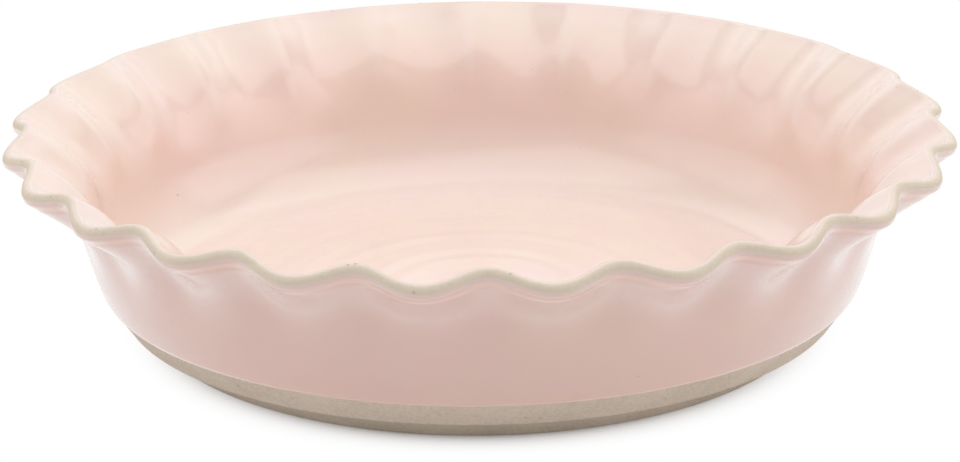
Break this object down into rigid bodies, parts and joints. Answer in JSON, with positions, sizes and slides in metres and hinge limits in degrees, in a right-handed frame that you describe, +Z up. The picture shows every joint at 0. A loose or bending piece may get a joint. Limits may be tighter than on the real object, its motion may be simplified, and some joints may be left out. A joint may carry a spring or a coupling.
{
  "type": "pie dish",
  "caption": "Round deep pie dish in stoneware with a pinched, ruffled rim, pink glaze inside and out, a bare round edge and a bare foot.",
  "frame": {"origin": "on the table, under the middle of the dish", "axes": "+Z up along the dish's axis; X and Y lie on the table, and the picture looks along +Y"},
  "size_m": [0.2784, 0.2784, 0.0616],
  "materials": {
    "bare_stoneware": "unglazed fired clay, fine-grained and matt, with small iron specks",
    "pink_glaze": "pale pink glossy glaze, thinner and paler over ridges and edges, with small iron specks"
  },
  "bodies": {
    "root": {"stoneware_body": "bare_stoneware", "inside_glaze": "pink_glaze", "outside_glaze": "pink_glaze"}
  },
  "joints": []
}
